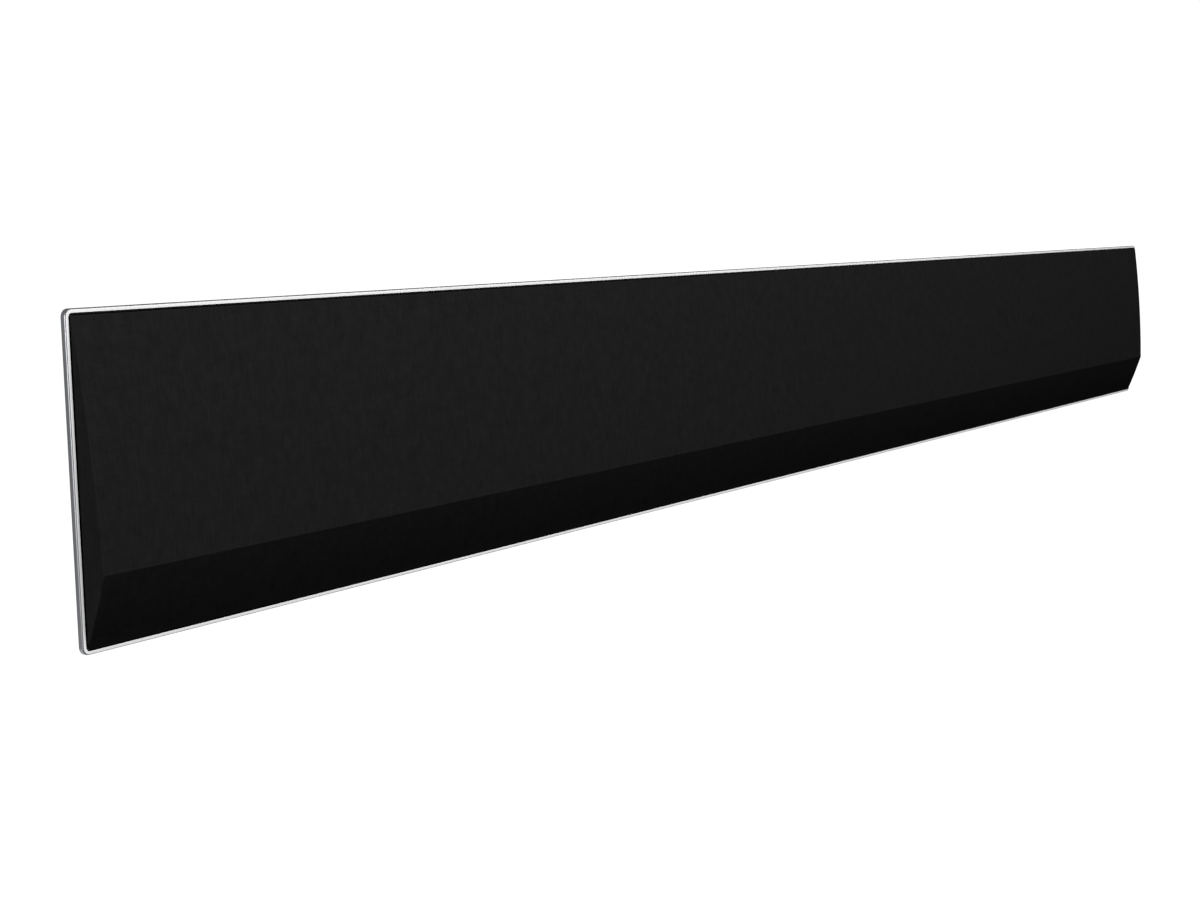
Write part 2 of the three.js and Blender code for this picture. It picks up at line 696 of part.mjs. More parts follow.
function displayBoard() {
  const { halfWidth, halfHeight, rearY } = displayBoardSize;
  return board(spanAbout(display.x, 2 * halfWidth), spanAbout(display.z, 2 * halfHeight), rearY);
}

function displayLightGuide() {
  const { halfWidth, halfHeight, frontY, rearY } = lightGuide;
  const across = spanAbout(display.x, 2 * halfWidth);
  return solidBlock(across, [frontY, rearY], spanAbout(display.z, 2 * halfHeight));
}

// Buttons in the right-hand end wall

const buttonHeights = buttonNames.map((name, i) => buttonPitch * (i - (buttonNames.length - 1) / 2));

function buttonBezel() {
  const outerX = housingHalfLength;
  const plate = [[outerX - housingWall, outerX], spanAbout(buttonY, bezel.depth)];
  let frame = solidBlock(...plate, spanAbout(0, 2 * bezel.halfHeight));
  for (const z of buttonHeights) {
    const hole = [[outerX - 50, outerX + 20], spanAbout(buttonY, bezel.holeDepth)];
    frame = frame.subtract(solidBlock(...hole, spanAbout(z, bezel.holeHeight)));
  }
  return frame;
}

// A cap that passes through the bezel, with a collar behind it that keeps it in.
function pushButton(z) {
  const innerX = housingHalfLength - housingWall - gap;
  const capX = [innerX - 0.5, housingHalfLength + buttonProud];
  const collarX = [innerX - buttonCap.collarThickness, innerX];
  const cap = solidBlock(capX, spanAbout(buttonY, buttonCap.depth), spanAbout(z, buttonCap.height));
  const collarAcross = [spanAbout(buttonY, buttonCap.collarDepth), spanAbout(z, buttonCap.collarHeight)];
  return cap.add(solidBlock(collarX, ...collarAcross));
}

function buttonBoard() {
  const { faceX, boardDepth, halfHeight, size, height } = switches;
  const plate = [[faceX - boardThickness, faceX], spanAbout(buttonY, boardDepth)];
  let assembly = solidBlock(...plate, spanAbout(0, 2 * halfHeight));
  for (const z of buttonHeights) {
    const body = [[faceX - partSink, faceX + height], spanAbout(buttonY, size), spanAbout(z, size)];
    assembly = assembly.add(solidBlock(...body));
  }
  return assembly;
}

// Assembly

addPiece('grille_fabric', grilleFabric(), cloth());
addPiece('grille_frame', grilleFrame(), blackPlastic());
addPiece('rim_frame', rimFrame(), brushedRim());
addPiece('front_baffle', frontBaffle(), blackPlastic());
addPiece('rear_housing', rearHousing(), darkPlastic());
addPiece('terminal_panel', terminalPanel(), blackPlastic());
addSockets();
addPiece('main_board', mainBoard(), boardGreen());
addPiece('power_board', powerBoard(), boardGreen());
addPiece('amplifier_heat_sink', heatSink(), aluminium());
addPiece('wireless_module', wirelessModule(), boardGreen());
addPiece('display_board', displayBoard(), boardGreen());
addPiece('display_light_guide', displayLightGuide(), frosted());
wooferCentres.forEach((x, i) => addWoofer(i + 1, x));
channelCentres.forEach((x, i) => addTweeter(i + 1, x));
addPiece('button_bezel', buttonBezel(), blackPlastic());
addPiece('button_board', buttonBoard(), boardGreen());
buttonNames.forEach((name, i) => {
  addPiece(`${name}_button`, pushButton(buttonHeights[i]), blackPlastic());
});
addPiece('left_hang_plate', hangPlate(-hangX), zincSteel());
addPiece('right_hang_plate', hangPlate(hangX), zincSteel());
screwPlaces.forEach((place, i) => addPiece(`rear_screw_${i + 1}`, rearScrew(place), blackSteel()));

export default soundbar;
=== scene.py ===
import json
import math

import bmesh
import bpy
import numpy as np
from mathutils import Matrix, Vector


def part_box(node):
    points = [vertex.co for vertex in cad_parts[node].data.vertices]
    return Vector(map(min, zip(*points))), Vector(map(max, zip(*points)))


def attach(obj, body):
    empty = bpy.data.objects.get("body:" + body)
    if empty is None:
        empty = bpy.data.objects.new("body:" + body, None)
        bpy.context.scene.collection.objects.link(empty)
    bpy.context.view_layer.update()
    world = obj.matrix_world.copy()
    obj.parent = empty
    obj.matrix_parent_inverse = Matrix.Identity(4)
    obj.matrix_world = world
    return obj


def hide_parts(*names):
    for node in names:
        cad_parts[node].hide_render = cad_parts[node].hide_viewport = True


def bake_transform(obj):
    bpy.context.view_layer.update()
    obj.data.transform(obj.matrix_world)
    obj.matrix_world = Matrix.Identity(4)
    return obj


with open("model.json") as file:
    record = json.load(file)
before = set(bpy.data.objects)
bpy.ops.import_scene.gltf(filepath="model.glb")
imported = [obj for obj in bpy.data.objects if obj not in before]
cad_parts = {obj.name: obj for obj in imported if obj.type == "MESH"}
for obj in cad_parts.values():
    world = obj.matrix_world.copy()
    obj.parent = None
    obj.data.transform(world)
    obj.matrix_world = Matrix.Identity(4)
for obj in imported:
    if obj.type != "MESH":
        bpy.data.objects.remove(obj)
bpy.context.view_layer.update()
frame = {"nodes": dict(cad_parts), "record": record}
mm = 0.001


# small tools

def linearColour(hexText):
    # sRGB hex to linear light: a straight line near black, then a power of 2.4
    parts = np.array([int(hexText[i:i + 2], 16) for i in (1, 3, 5)]) / 255
    low, high = parts / 12.92, ((parts + 0.055) / 1.055) ** 2.4
    return tuple(np.where(parts <= 0.04045, low, high)) + (1.0,)


def addNode(tree, kind, settings=None, values=None, links=None):
    # one shader node: its settings, fixed socket values and the sockets that feed it
    node = tree.nodes.new(kind)
    for name, value in (settings or {}).items():
        setattr(node, name, value)
    for name, value in (values or {}).items():
        node.inputs[name].default_value = value
    for name, source in (links or {}).items():
        tree.links.new(source, node.inputs[name])
    return node


def boxInMm(nodeName):
    # lowest and highest corner of a CAD node at rest
    return [np.array(corner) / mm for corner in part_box(nodeName)]


def newMaterial(name, shader):
    # a material with its principled shader's fixed values, and its tree for patterns
    material = bpy.data.materials.new(name)
    material.use_nodes = True
    tree = material.node_tree
    surface = tree.nodes["Principled BSDF"]
    for socket, value in shader.items():
        surface.inputs[socket].default_value = value
    return material, tree, surface


def gridFaces(rows, columns, closeRows=False, closeColumns=False):
    # quads between neighbouring points of a grid, wrapping round where it is closed
    r = np.arange(rows if closeRows else rows - 1)[:, None]
    c = np.arange(columns if closeColumns else columns - 1)[None, :]
    r2, c2 = (r + 1) % rows, (c + 1) % columns
    quads = [r * columns + c, r * columns + c2, r2 * columns + c2, r2 * columns + c]
    return np.stack([np.broadcast_to(q, (len(r), c.shape[1])) for q in quads], -1).reshape(-1, 4)


def weldMesh(mesh, distance=1e-6):
    # corners that touch become one, and the faces are turned outwards
    work = bmesh.new()
    work.from_mesh(mesh)
    bmesh.ops.remove_doubles(work, verts=work.verts, dist=distance)
    bmesh.ops.dissolve_degenerate(work, edges=work.edges, dist=distance)
    bmesh.ops.recalc_face_normals(work, faces=work.faces)
    work.to_mesh(mesh)
    work.free()


def makePiece(name, points, faces, material, slotName, body="body", sharp=35, replaces=(), zones=None):
    # a mesh object from whole arrays in metres, welded, facing outwards, riding on its body
    mesh = bpy.data.meshes.new(name)
    mesh.from_pydata(points.reshape(-1, 3), [], faces.tolist())
    if zones is not None:
        mesh.attributes.new("zone", "FLOAT", "FACE").data.foreach_set("value", zones)
    piece = bpy.data.objects.new(name, mesh)
    bpy.context.collection.objects.link(piece)
    weldMesh(mesh)
    mesh.materials.append(material)
    mesh.shade_smooth()
    mesh.set_sharp_from_angle(angle=math.radians(sharp))
    if body:
        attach(piece, body)
    if replaces:
        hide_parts(*replaces)
    return piece


def joinSurfaces(surfaces):
    # several grids of points and faces put end to end as one
    starts = np.cumsum([0] + [points.reshape(-1, 3).shape[0] for points, _ in surfaces])
    points = np.concatenate([points.reshape(-1, 3) for points, _ in surfaces])
    faces = np.concatenate([faces + start for (_, faces), start in zip(surfaces, starts)])
    return points, faces


def easeCorners(section, radius, steps=3):
    # each corner of a closed section becomes a short quadratic curve between its two edges;
    # a corner on the axis stays sharp
    before, after = np.roll(section, 1, 0) - section, np.roll(section, -1, 0) - section
    lengthBefore = np.linalg.norm(before, axis=1, keepdims=True)
    lengthAfter = np.linalg.norm(after, axis=1, keepdims=True)
    reach = np.where(section[:, :1] == 0, 0, radius)
    start = section + before / lengthBefore * np.minimum(reach, 0.45 * lengthBefore)
    end = section + after / lengthAfter * np.minimum(reach, 0.45 * lengthAfter)
    t = np.linspace(0, 1, steps + 1)[None, :, None]
    curve = start[:, None] * (1 - t) ** 2 + 2 * section[:, None] * t * (1 - t) + end[:, None] * t ** 2
    return curve.reshape(-1, 2)


def turnedSurface(section, place, axis="Y", stretch=0, steps=96):
    # a closed section of (radius, height) turned about an axis; its two halves are pulled apart in X
    angle = (np.arange(steps) + 0.5) / steps * 2 * math.pi
    a = section[:, :1] * np.cos(angle) + stretch * np.sign(np.cos(angle))
    b = section[:, :1] * np.sin(angle)
    h = np.broadcast_to(section[:, 1:], a.shape)
    order = {"Y": (a, h, b), "Z": (a, b, h)}[axis]
    points = (np.stack(order, -1) + np.array(place)) * mm
    return points, gridFaces(len(section), steps, closeRows=True, closeColumns=True)


def insetOutline(halfWidth, halfHeight, radius, insets, arcSteps=6):
    # a rounded rectangle shrunk by each inset, until it closes on its middle line
    insets = np.asarray(insets, float)
    w, h = np.maximum(halfWidth - insets, 0), np.maximum(halfHeight - insets, 0)
    r = np.clip(radius - insets, 0, np.minimum(w, h))
    return roundedOutline(w, h, r, arcSteps, 6, 4)


def refineNode(nodeName, material, width):
    # a merged copy of a CAD node, its flat faces made whole and its edges rounded by a bevel
    node = frame["nodes"][nodeName]
    mesh = node.data.copy()
    work = bmesh.new()
    work.from_mesh(mesh)
    bmesh.ops.remove_doubles(work, verts=work.verts, dist=1e-6)
    bmesh.ops.dissolve_limit(work, angle_limit=math.radians(1), verts=work.verts, edges=work.edges)
    for face in work.faces:
        face.smooth = True
    work.to_mesh(mesh)
    work.free()
    piece = bpy.data.objects.new(nodeName + "Detail", mesh)
    bpy.context.collection.objects.link(piece)
    mesh.materials.clear()
    mesh.materials.append(material)
    bevel = piece.modifiers.new("edges", "BEVEL")
    bevel.width, bevel.segments, bevel.limit_method = width * mm, 2, "ANGLE"
    bevel.angle_limit = math.radians(28)
    piece.modifiers.new("flatFaces", "WEIGHTED_NORMAL").keep_sharp = True
    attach(piece, bodyOf[nodeName])
    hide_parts(nodeName)
    return piece


slotOf = {part["node"]: part["material_slot"] for part in frame["record"]["subparts"]}
bodyOf = {node: body for body, nodes in frame["record"]["behaviour"]["bodies"].items() for node in nodes}


# camera, light and floor

view = {
    "place": (-1294.83, -653.69, 114.66), "yaw": 57.309, "pitch": -10.420, "roll": -0.334,
    "lens": 58.319, "shift": 0.0978,
}


def addCamera():
    # forward from yaw and pitch; the picture is then rolled about it
    yaw, pitch, roll = (math.radians(view[k]) for k in ("yaw", "pitch", "roll"))
    forward = np.array([math.sin(yaw) * math.cos(pitch), math.cos(yaw) * math.cos(pitch), math.sin(pitch)])
    level = np.array([math.cos(yaw), -math.sin(yaw), 0])
    up = np.cross(level, forward)
    right = level * math.cos(roll) + up * math.sin(roll)
    top = -level * math.sin(roll) + up * math.cos(roll)
    data = bpy.data.cameras.new("camera")
    data.lens, data.shift_y = view["lens"], view["shift"]
    data.clip_start, data.clip_end = 0.01, 100
    camera = bpy.data.objects.new("camera", data)
    bpy.context.collection.objects.link(camera)
    matrix = np.eye(4)
    matrix[:3, 0], matrix[:3, 1], matrix[:3, 2] = right, top, -forward
    matrix[:3, 3] = np.array(view["place"]) * mm
    camera.matrix_world = matrix.T.tolist()
    bpy.context.scene.camera = camera
    return camera


lamps = {
    # name: place and aim in metres, width and height in metres, power in watts
    "keyLamp": ((-0.7, -1.5, 2.6), (-0.1, 0, 0), (1.8, 1.0), 150),
    "fillLamp": ((-2.4, -0.13, 0.2), (-0.7, 0, 0), (0.8, 1.0), 17.5),
    "rearLamp": ((1.2, 2.2, 1.8), (0, 0, 0), (2.0, 1.0), 260),
}


def addLamp(name, place, aim, size, power):
    data = bpy.data.lights.new(name, "AREA")
    data.shape, data.size, data.size_y, data.energy = "RECTANGLE", size[0], size[1], power
    lamp = bpy.data.objects.new(name, data)
    bpy.context.collection.objects.link(lamp)
    lamp.location = place
    lamp.visible_glossy = name == "fillLamp"
    direction = Vector(aim) - Vector(place)
    lamp.rotation_euler = direction.to_track_quat("-Z", "Y").to_euler()
    return lamp


def addWorld():
    # seen directly the studio is white; in reflections it is bright to the right in front and
    # below on the right, bright low down behind, and grey elsewhere;
    # it lights matt surfaces only a little
    world = bpy.data.worlds.new("studio")
    bpy.context.scene.world = world
    world.use_nodes = True
    tree = world.node_tree
    place = addNode(tree, "ShaderNodeTexCoord")
    split = addNode(tree, "ShaderNodeSeparateXYZ", links={0: place.outputs["Generated"]})

    def ramp(axis, start, end, low, high):
        return addNode(tree, "ShaderNodeMapRange", {"interpolation_type": "SMOOTHSTEP"}, {
            "From Min": start, "From Max": end, "To Min": low, "To Max": high,
        }, {"Value": split.outputs[axis]}).outputs[0]

    def join(operation, first, second):
        return addNode(tree, "ShaderNodeMath", {"operation": operation}, links={
            0: first, 1: second}).outputs[0]

    panel = join("MULTIPLY", join("MULTIPLY", ramp("X", 0.1, 0.5, 0, 1), ramp("Y", -0.28, -0.40, 0, 1)),
                 ramp("Z", -0.3, -0.12, 0.2, 0.35))
    low = join("MULTIPLY", ramp("X", 0.2, 0.7, 0, 1), ramp("Z", -0.25, -0.5, 0, 0.6))
    grey = ramp("Z", -0.35, 0.1, 0.14, 0.3)
    behind = join("MULTIPLY", ramp("Y", 0.2, 0.5, 0, 1), ramp("Z", -0.25, -0.45, 0, 0.8))
    glossy = join("ADD", join("ADD", join("ADD", panel, low), grey), behind)
    rays = addNode(tree, "ShaderNodeLightPath")
    dim = addNode(tree, "ShaderNodeMix", {"data_type": "FLOAT"}, {2: 0.066}, {
        0: rays.outputs["Is Glossy Ray"], 3: glossy})
    strength = addNode(tree, "ShaderNodeMix", {"data_type": "FLOAT"}, {3: 1.1}, {
        0: rays.outputs["Is Camera Ray"], 2: dim.outputs[0]})
    tree.links.new(strength.outputs[0], tree.nodes["Background"].inputs["Strength"])
    tree.nodes["Background"].inputs["Color"].default_value = (1, 1, 1, 1)


def addFloor():
    # white seamless paper, far enough below to take no shadow
    size, height = 30, -1.5
    mesh = bpy.data.meshes.new("floor")
    corners = [(x * size, y * size, height) for x, y in ((-1, -1), (1, -1), (1, 1), (-1, 1))]
    mesh.from_pydata(corners, [], [(0, 1, 2, 3)])
    floor = bpy.data.objects.new("floor", mesh)
    bpy.context.collection.objects.link(floor)
    material = newMaterial("whitePaper", {
        "Base Color": linearColour("#f2f2f2"), "Roughness": 0.9,
        "Emission Color": linearColour("#ffffff"), "Emission Strength": 1.0,
    })[0]
    mesh.materials.append(material)
    floor.visible_diffuse = floor.visible_glossy = False


addCamera()
addWorld()
for lampName, facts in lamps.items():
    addLamp(lampName, *facts)
addFloor()
bpy.context.scene.view_settings.view_transform = "Standard"
print("camera and studio ready")


# rim: an anodised aluminium section carried round a rounded rectangle

rim = {
    "frontEdge": 0.7, "rearEdge": 0.25, "lip": 1.8, "flange": 5.3, "flangeThickness": 0.8, "corner": 3.5,
    "rebate": 0.8, "lean": 0.03,
}


def roundedOutline(halfLength, halfHeight, radius, arcSteps=8, longSteps=24, shortSteps=4):
    # four quarter circles joined by straights, as x, z pairs, for whole arrays of insets
    angles = np.linspace(0, math.pi / 2, arcSteps + 1)
    parts = []
    for turn, (sx, sz) in enumerate([(1, 1), (-1, 1), (-1, -1), (1, -1)]):
        a = angles + turn * math.pi / 2
        x = sx * (halfLength - radius)[:, None] + radius[:, None] * np.cos(a)[None]
        z = sz * (halfHeight - radius)[:, None] + radius[:, None] * np.sin(a)[None]
        parts.append((x, z))
    xs, zs = [], []
    for i, (x, z) in enumerate(parts):
        nextX, nextZ = parts[(i + 1) % 4]
        steps = longSteps if i % 2 == 0 else shortSteps
        t = np.linspace(0, 1, steps + 1)[1:-1][None]
        xs += [x, x[:, -1:] * (1 - t) + nextX[:, :1] * t]
        zs += [z, z[:, -1:] * (1 - t) + nextZ[:, :1] * t]
    return np.concatenate(xs, 1), np.concatenate(zs, 1)


def quarterArc(centre, radius, start, steps=6):
    a = np.linspace(start, start + math.pi / 2, steps + 1)
    return np.stack([centre[0] + radius * np.cos(a), centre[1] + radius * np.sin(a)], 1)


def buildRim():
    # section points are (inset from the outer edge, y); the corner radius shrinks with the inset
    low, high = boxInMm("rim_frame")
    front, rear, edge, back = low[1], high[1], rim["frontEdge"], rim["rearEdge"]
    bandRear = rear - rim["flangeThickness"]
    corner = quarterArc((edge, front + edge), edge, math.pi, 8)
    parts = [
        (0, corner[:7]),  # rounded front edge, the last of it taken off with the cut face
        (1, corner[7:]),
        (1, [[rim["lip"], front + rim["lean"]]]),
        (2, [[rim["lip"], bandRear], [rim["flange"], bandRear]]),  # lip's inside and flange: painted shade, near black
        (0, [[rim["flange"], rear], [rim["rebate"], rear], [rim["rebate"], bandRear]]),
        (0, quarterArc((back, bandRear - back), back, math.pi / 2, 4)),
    ]
    section = np.concatenate([points for _, points in parts])
    zone = np.roll(np.concatenate([np.full(len(points), value) for value, points in parts]), -1)
    inset, y = section[:, 0], section[:, 1]
    radius = np.maximum(rim["corner"] - 0.8 * inset, 0.8)
    x, z = roundedOutline(high[0] - inset, high[2] - inset, radius)
    points = np.stack([x, np.broadcast_to(y[:, None], x.shape), z], -1) * mm
    faces = gridFaces(*x.shape, closeRows=True, closeColumns=True)
    zones = np.repeat(zone, x.shape[1]).astype(np.float32)
    return makePiece("metalRim", points, faces, anodisedAluminium(), "brushed_rim",
                     replaces=["rim_frame"], zones=zones)


def anodisedAluminium():
    # extruded aluminium, bead blasted and clear anodised: satin grey with a grain of about 0.3 mm;
    # the front face is diamond cut afterwards and coloured near white as a painted reflection; the inside is
    # near black, painted shade
    material, tree, surface = newMaterial("anodisedAluminium", {})
    place = addNode(tree, "ShaderNodeTexCoord")
    zone = addNode(tree, "ShaderNodeAttribute", {"attribute_name": "zone"})
    cut = addNode(tree, "ShaderNodeMapRange", {}, {"From Min": 0.4, "From Max": 0.6}, {
        "Value": zone.outputs["Fac"]})
    inner = addNode(tree, "ShaderNodeMapRange", {}, {"From Min": 1.4, "From Max": 1.6}, {
        "Value": zone.outputs["Fac"]})
    grain = addNode(tree, "ShaderNodeTexNoise", {}, {"Scale": 3500.0, "Detail": 2.0}, {
        "Vector": place.outputs["Object"]})
    # extrusion lines run along the section: long in X and Z, 0.4 mm apart in Y
    lines = addNode(tree, "ShaderNodeMapping", {}, {"Scale": (6.0, 2500.0, 6.0)}, {
        "Vector": place.outputs["Object"]})
    streak = addNode(tree, "ShaderNodeTexNoise", {}, {"Scale": 1.0, "Detail": 2.0}, {
        "Vector": lines.outputs[0]})
    satin = addNode(tree, "ShaderNodeMix", {"data_type": "RGBA"}, {
        6: linearColour("#9b9da1"), 7: linearColour("#aeb0b3")}, {0: streak.outputs["Fac"]})
    # painted reflection: the cut face (zone 1) is near white in place of the bright studio it would mirror
    bright = addNode(tree, "ShaderNodeMix", {"data_type": "RGBA"}, {7: linearColour("#fbfbfb")}, {
        0: cut.outputs[0], 6: satin.outputs[2]})
    # painted shade: zone 2, the lip's inside and the flange, is coloured near black for the shadow in the
    # seam
    colour = addNode(tree, "ShaderNodeMix", {"data_type": "RGBA"}, {7: linearColour("#08080a")}, {
        0: inner.outputs[0], 6: bright.outputs[2]})
    # the cut face is made nearly non-metallic, so its near-white colour shows as a painted reflection rather
    # than a mirror
    metal = addNode(tree, "ShaderNodeMapRange", {}, {"To Min": 1.0, "To Max": 0.1}, {"Value": cut.outputs[0]})
    tree.links.new(metal.outputs[0], surface.inputs["Metallic"])
    matt = addNode(tree, "ShaderNodeMapRange", {}, {
        "From Min": 0.3, "From Max": 0.7, "To Min": 0.33, "To Max": 0.42}, {"Value": grain.outputs["Fac"]})
    rough = addNode(tree, "ShaderNodeMix", {"data_type": "FLOAT"}, {3: 0.15}, {
        0: cut.outputs[0], 2: matt.outputs[0]})
    bump = addNode(tree, "ShaderNodeBump", {}, {"Strength": 0.08, "Distance": 0.02 * mm}, {
        "Height": grain.outputs["Fac"]})
    tree.links.new(colour.outputs[2], surface.inputs["Base Color"])
    tree.links.new(rough.outputs[0], surface.inputs["Roughness"])
    tree.links.new(bump.outputs[0], surface.inputs["Normal"])
    return material


# grille cloth: one sheet stretched over the wedge

cloth = {
    # mm; heights are from the rim's lower edge, depths from the rim's front
    "ridge": 36.2, "ridgeDepth": 12.0, "topRadius": 0.85, "top": 147.5, "bottom": 2.5,
    "topStep": 0.85, "frontBulge": 1.6, "bevelBulge": 0.45,
    "tuck": 0.5, "thickness": 0.5, "end": 720.6, "corner": 1.7, "lean": 0.05,
    # the first value on the next line is the height of the strip at each cheek's foot that is coloured as
    # painted shade
    "paintedShadeEdge": 0.95, "edge": 0.6, "weave": 0.9,
    "flat": (1.487, 0.17),  # metres, with 10 mm at each edge to turn under
}


def clothProfile():
    # (height, depth) up the front: tucked edge, bevel, rounded ridge, bulging front, rounded top edge
    ridgeDepth, topRadius = cloth["ridgeDepth"], cloth["topRadius"]
    t = np.linspace(0, 1, 14)
    bevelHeight = cloth["bottom"] + (cloth["ridge"] - cloth["bottom"]) * t
    bevel = ridgeDepth * t + cloth["bevelBulge"] * 4 * t * (1 - t)
    bevel[0] = 0.1
    t = np.linspace(0, 1, 46)
    topHeight = cloth["top"] - topRadius - 0.05
    frontHeight = topHeight + (cloth["ridge"] - topHeight) * t
    front = cloth["topStep"] + (ridgeDepth - cloth["topStep"]) * t + cloth["frontBulge"] * 4 * t * (1 - t)
    edge = quarterArc((topHeight, cloth["topStep"] - topRadius), topRadius, 0, 8)[::-1]
    return np.concatenate([
        [[cloth["bottom"], -cloth["tuck"]]],
        np.stack([bevelHeight, bevel], 1)[:-1],
        [[cloth["ridge"], ridgeDepth]],
        np.stack([frontHeight, front], 1)[::-1][1:-1],
        edge,
        [[cloth["top"] - 0.03, -cloth["tuck"]]],
    ])


def buildCloth():
    # each height's section runs up the end cheek, round a tight edge and along the front
    profile = clothProfile()
    height, depth = profile[:, 0][:, None], profile[:, 1][:, None]
    rise = depth + cloth["tuck"]
    edge = np.minimum(cloth["edge"], 0.7 * rise)
    fromEnd = np.minimum(height - cloth["bottom"], cloth["top"] - height)
    r = cloth["corner"]
    cornerInset = np.where(fromEnd < r, r - np.sqrt(np.maximum(r * r - (r - fromEnd) ** 2, 0)), 0)
    end = cloth["end"] - cornerInset
    up = np.linspace(0, 1, 8)[None]
    arc = np.linspace(0, math.pi / 2, 8)[None, 1:]
    along = np.linspace(0, 1, 121)[None, 1:-1]
    # each cheek's foot, up to this height, is the strip coloured near black as painted shade
    paintedShadeHeight = np.minimum(cloth["paintedShadeEdge"], 0.5 * (rise - edge))
    climb = np.concatenate([0 * height, paintedShadeHeight + (rise - edge - paintedShadeHeight) * up], 1)
    cheekX = end - cloth["lean"] * climb
    cheekD = -cloth["tuck"] + climb
    foot = end - cloth["lean"] * (rise - edge)
    arcX = foot - edge * (1 - np.cos(arc))
    arcD = depth - edge * (1 - np.sin(arc))
    half = np.concatenate([cheekX, arcX], 1)
    halfDepth = np.concatenate([cheekD, arcD], 1)
    middle = half[:, -1:] * (1 - 2 * along)
    x = np.concatenate([half, middle, -half[:, ::-1]], 1)
    d = np.concatenate([halfDepth, np.broadcast_to(depth, middle.shape), halfDepth[:, ::-1]], 1)
    low = boxInMm("rim_frame")[0]
    z = np.broadcast_to(low[2] + height, x.shape)
    points = np.stack([x, low[1] - d, z], -1) * mm
    # the outermost strip all round is coloured near black: painted shade where the cloth's edge tucks into
    # the seam under the rim
    paintedShadeEdge = np.zeros((x.shape[0] - 1, x.shape[1] - 1), np.float32)
    paintedShadeEdge[:, [0, -1]] = paintedShadeEdge[0] = paintedShadeEdge[-6:] = 1
    piece = makePiece("grilleCloth", points, gridFaces(*x.shape), wovenCloth(), "grille_cloth",
                      sharp=14, replaces=["grille_fabric"], zones=paintedShadeEdge.ravel())
    thick = piece.modifiers.new("thickness", "SOLIDIFY")
    thick.thickness, thick.offset = cloth["thickness"] * mm, -1
    return piece


def wovenCloth():
    # black polyester acoustic cloth, plain weave of uneven yarn: dull, with faint upright slubs
    material, tree, surface = newMaterial("wovenPolyester", {
        "Roughness": 0.95, "Specular IOR Level": 0.0,
    })
    place = addNode(tree, "ShaderNodeTexCoord")
    # yarns are 0.45 mm apart on such cloth, drawn 0.9 mm apart so that they show
    perMetre = 2 * math.pi / (cloth["weave"] * mm)
    split = addNode(tree, "ShaderNodeSeparateXYZ", links={0: place.outputs["Object"]})
    waves = []
    for axis in ("X", "Z"):
        angle = addNode(tree, "ShaderNodeMath", {"operation": "MULTIPLY"}, {1: perMetre}, {
            0: split.outputs[axis]})
        waves.append(addNode(tree, "ShaderNodeMath", {"operation": "SINE"}, links={0: angle.outputs[0]}))
    weave = addNode(tree, "ShaderNodeMath", {"operation": "MULTIPLY"}, links={
        0: waves[0].outputs[0], 1: waves[1].outputs[0]})
    # slubs: thick places 1.2 mm wide and 14 mm long in the upright yarns, fewer in the level ones
    stretch = addNode(tree, "ShaderNodeMapping", {}, {"Scale": (820.0, 820.0, 70.0)}, {
        "Vector": place.outputs["Object"]})
    slubs = addNode(tree, "ShaderNodeTexNoise", {}, {"Scale": 1.0, "Detail": 3.0, "Roughness": 0.6}, {
        "Vector": stretch.outputs[0]})
    across = addNode(tree, "ShaderNodeMapping", {}, {"Scale": (130.0, 300.0, 900.0)}, {
        "Vector": place.outputs["Object"]})
    levelSlubs = addNode(tree, "ShaderNodeTexNoise", {}, {"Scale": 1.0, "Detail": 2.0}, {
        "Vector": across.outputs[0]})
    level = addNode(tree, "ShaderNodeMapRange", {}, {"To Min": 0.3, "To Max": 0.7}, {
        "Value": levelSlubs.outputs["Fac"]})
    mottle = addNode(tree, "ShaderNodeTexNoise", {}, {"Scale": 160.0, "Detail": 4.0, "Roughness": 0.7}, {
        "Vector": place.outputs["Object"]})
    first = addNode(tree, "ShaderNodeMath", {"operation": "ADD"}, links={
        0: slubs.outputs["Fac"], 1: level.outputs[0]})
    both = addNode(tree, "ShaderNodeMath", {"operation": "ADD"}, links={
        0: first.outputs[0], 1: mottle.outputs["Fac"]})
    faint = addNode(tree, "ShaderNodeMath", {"operation": "MULTIPLY"}, {1: 0.06}, {0: weave.outputs[0]})
    total = addNode(tree, "ShaderNodeMath", {"operation": "ADD"}, links={
        0: both.outputs[0], 1: faint.outputs[0]})
    tone = addNode(tree, "ShaderNodeMapRange", {}, {"From Min": 1.1, "From Max": 1.9}, {
        "Value": total.outputs[0]})
    yarn = addNode(tree, "ShaderNodeMix", {"data_type": "RGBA"}, {
        6: linearColour("#181819"), 7: linearColour("#212122")}, {0: tone.outputs[0]})
    # painted shade: faces whose zone is 1 turn near black, standing in for the shadow in the seam round the
    # cloth's edge
    paintedShadeEdge = addNode(tree, "ShaderNodeAttribute", {"attribute_name": "zone"})
    colour = addNode(tree, "ShaderNodeMix", {"data_type": "RGBA"}, {7: linearColour("#030303")}, {
        0: paintedShadeEdge.outputs["Fac"], 6: yarn.outputs[2]})
    bump = addNode(tree, "ShaderNodeBump", {}, {"Strength": 0.25, "Distance": 0.12 * mm}, {
        "Height": total.outputs[0]})
    tree.links.new(colour.outputs[2], surface.inputs["Base Color"])
    tree.links.new(bump.outputs[0], surface.inputs["Normal"])
    return material


buildRim()
buildCloth()
print("rim and cloth ready")


# finishes

